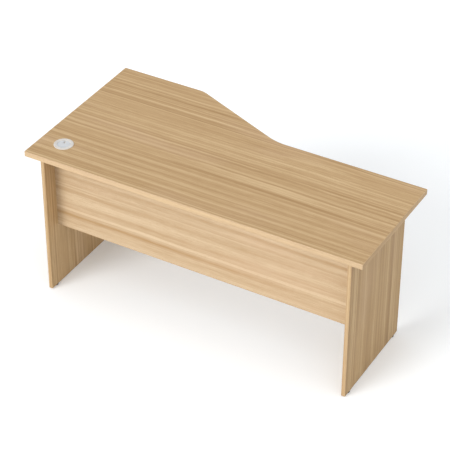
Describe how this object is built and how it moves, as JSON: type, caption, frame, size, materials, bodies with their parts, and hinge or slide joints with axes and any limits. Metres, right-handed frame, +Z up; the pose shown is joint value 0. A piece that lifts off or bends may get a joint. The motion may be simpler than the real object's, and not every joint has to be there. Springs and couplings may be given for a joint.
{
  "type": "teacher's desk",
  "caption": "Wave-shaped desk with a deep and a shallow end, panel ends, a set-back modesty panel, levelling feet and a round cable port.",
  "frame": {"origin": "on the floor under the centre of the worktop's overall rectangle", "axes": "+Z up; +X along the desk towards its deep end; -Y towards the seated user, +Y towards the rear edge and the modesty panel"},
  "size_m": [1.6, 0.8, 0.7322],
  "materials": {
    "oak_face": "light oak melamine face, satin, fine long grain",
    "oak_edging": "light oak ABS edging strip, satin",
    "beech_dowel": "plain fluted beech",
    "zinc_cam": "die-cast zinc, dull",
    "steel_fixing": "zinc-plated steel",
    "cover_cap_plastic": "oak-coloured plastic, fine texture",
    "black_nylon": "black nylon, matt",
    "port_silver_plastic": "silver-grey plastic, satin, fine spark texture"
  },
  "bodies": {
    "desk": {"worktop_board": "oak_face", "deep_end_panel_board": "oak_face", "shallow_end_panel_board": "oak_face", "modesty_panel_board": "oak_face", "worktop_edging_rear": "oak_edging", "worktop_edging_deep_end": "oak_edging", "worktop_edging_shallow_end": "oak_edging", "worktop_edging_wave": "oak_edging", "modesty_panel_edging_bottom": "oak_edging", "deep_end_panel_edging_rear": "oak_edging", "deep_end_panel_edging_front": "oak_edging", "deep_end_panel_edging_bottom": "oak_edging", "shallow_end_panel_edging_rear": "oak_edging", "shallow_end_panel_edging_front": "oak_edging", "shallow_end_panel_edging_bottom": "oak_edging", "end_panel_to_worktop_cams": "zinc_cam", "end_panel_to_worktop_cam_bolts": "steel_fixing", "end_panel_to_worktop_cam_caps": "cover_cap_plastic", "end_panel_to_worktop_dowels": "beech_dowel", "modesty_to_end_panel_cams": "zinc_cam", "modesty_to_end_panel_cam_bolts": "steel_fixing", "modesty_to_end_panel_cam_caps": "cover_cap_plastic", "modesty_to_end_panel_dowels": "beech_dowel", "modesty_to_worktop_cams": "zinc_cam", "modesty_to_worktop_cam_bolts": "steel_fixing", "modesty_to_worktop_cam_caps": "cover_cap_plastic", "modesty_to_worktop_dowels": "beech_dowel", "deep_end_rear_foot_insert": "steel_fixing", "deep_end_front_foot_insert": "steel_fixing", "shallow_end_rear_foot_insert": "steel_fixing", "shallow_end_front_foot_insert": "steel_fixing", "cable_port_liner": "port_silver_plastic"},
    "deep_end_rear_pad": {"deep_end_rear_foot_pad": "black_nylon"},
    "deep_end_rear_stud": {"deep_end_rear_foot_stud": "steel_fixing"},
    "deep_end_front_pad": {"deep_end_front_foot_pad": "black_nylon"},
    "deep_end_front_stud": {"deep_end_front_foot_stud": "steel_fixing"},
    "shallow_end_rear_pad": {"shallow_end_rear_foot_pad": "black_nylon"},
    "shallow_end_rear_stud": {"shallow_end_rear_foot_stud": "steel_fixing"},
    "shallow_end_front_pad": {"shallow_end_front_foot_pad": "black_nylon"},
    "shallow_end_front_stud": {"shallow_end_front_foot_stud": "steel_fixing"},
    "port_cover": {"cable_port_cover": "port_silver_plastic"},
    "port_shutter": {"cable_port_shutter": "port_silver_plastic"}
  },
  "joints": [
    {"name": "deep_end_rear_pad_travel", "type": "slide", "parent": "desk", "child": "deep_end_rear_pad", "axis": [0, 0, -1], "range_m": [0, 0.01]},
    {"name": "deep_end_rear_stud_turn", "type": "hinge", "parent": "deep_end_rear_pad", "child": "deep_end_rear_stud", "pos_m": [0.731, 0.33, 0], "axis": [0, 0, -1], "range_deg": [0, 2880]},
    {"name": "deep_end_front_pad_travel", "type": "slide", "parent": "desk", "child": "deep_end_front_pad", "axis": [0, 0, -1], "range_m": [0, 0.01]},
    {"name": "deep_end_front_stud_turn", "type": "hinge", "parent": "deep_end_front_pad", "child": "deep_end_front_stud", "pos_m": [0.731, -0.29, 0], "axis": [0, 0, -1], "range_deg": [0, 2880]},
    {"name": "shallow_end_rear_pad_travel", "type": "slide", "parent": "desk", "child": "shallow_end_rear_pad", "axis": [0, 0, -1], "range_m": [0, 0.01]},
    {"name": "shallow_end_rear_stud_turn", "type": "hinge", "parent": "shallow_end_rear_pad", "child": "shallow_end_rear_stud", "pos_m": [-0.731, 0.33, 0], "axis": [0, 0, -1], "range_deg": [0, 2880]},
    {"name": "shallow_end_front_pad_travel", "type": "slide", "parent": "desk", "child": "shallow_end_front_pad", "axis": [0, 0, -1], "range_m": [0, 0.01]},
    {"name": "shallow_end_front_stud_turn", "type": "hinge", "parent": "shallow_end_front_pad", "child": "shallow_end_front_stud", "pos_m": [-0.731, -0.09, 0], "axis": [0, 0, -1], "range_deg": [0, 2880]},
    {"name": "port_cover_lift", "type": "slide", "parent": "desk", "child": "port_cover", "axis": [0, 0, 1], "range_m": [0, 0.06]},
    {"name": "port_shutter_turn", "type": "hinge", "parent": "port_cover", "child": "port_shutter", "pos_m": [0.685, 0.271, 0.73], "axis": [0, 0, 1], "continuous": true}
  ],
  "couplings": [
    {"joint": "deep_end_rear_pad_travel", "follows": "deep_end_rear_stud_turn", "m_per_rad": 0.00019894},
    {"joint": "deep_end_front_pad_travel", "follows": "deep_end_front_stud_turn", "m_per_rad": 0.00019894},
    {"joint": "shallow_end_rear_pad_travel", "follows": "shallow_end_rear_stud_turn", "m_per_rad": 0.00019894},
    {"joint": "shallow_end_front_pad_travel", "follows": "shallow_end_front_stud_turn", "m_per_rad": 0.00019894}
  ]
}
